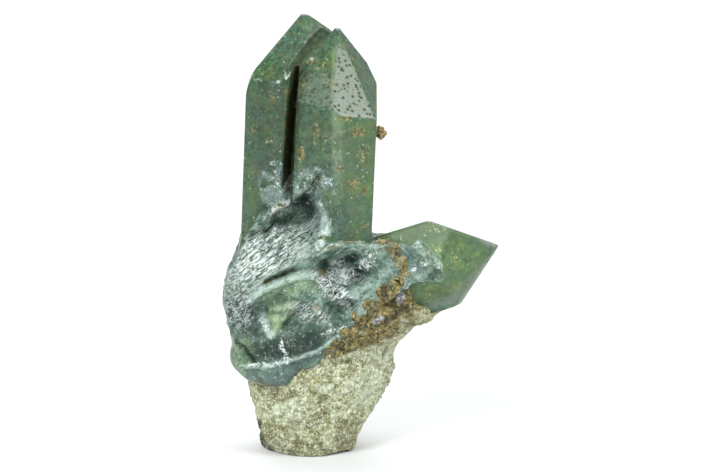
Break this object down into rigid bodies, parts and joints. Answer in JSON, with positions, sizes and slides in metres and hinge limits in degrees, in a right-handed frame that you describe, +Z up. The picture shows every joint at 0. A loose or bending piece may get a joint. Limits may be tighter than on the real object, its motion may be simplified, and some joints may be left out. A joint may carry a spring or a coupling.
{
  "type": "included quartz crystal",
  "caption": "Green included quartz crystals, two upright and one leaning out, on a tapered stump of pale granular rock that stands on a flat foot.",
  "frame": {"origin": "centre of the flat foot that the rock stands on", "axes": "+Z up along the upright crystals, +X toward the side crystal, -Y toward the front"},
  "size_m": [0.0434, 0.022, 0.0689],
  "materials": {
    "green_quartz": "glassy crystal faces, mossy green with brown specks, rippled and sparkling where broken",
    "matrix_rock": "matt pale yellow-green grains, brown stained near the quartz"
  },
  "bodies": {
    "root": {"green_quartz": "green_quartz", "matrix_rock": "matrix_rock"}
  },
  "joints": []
}
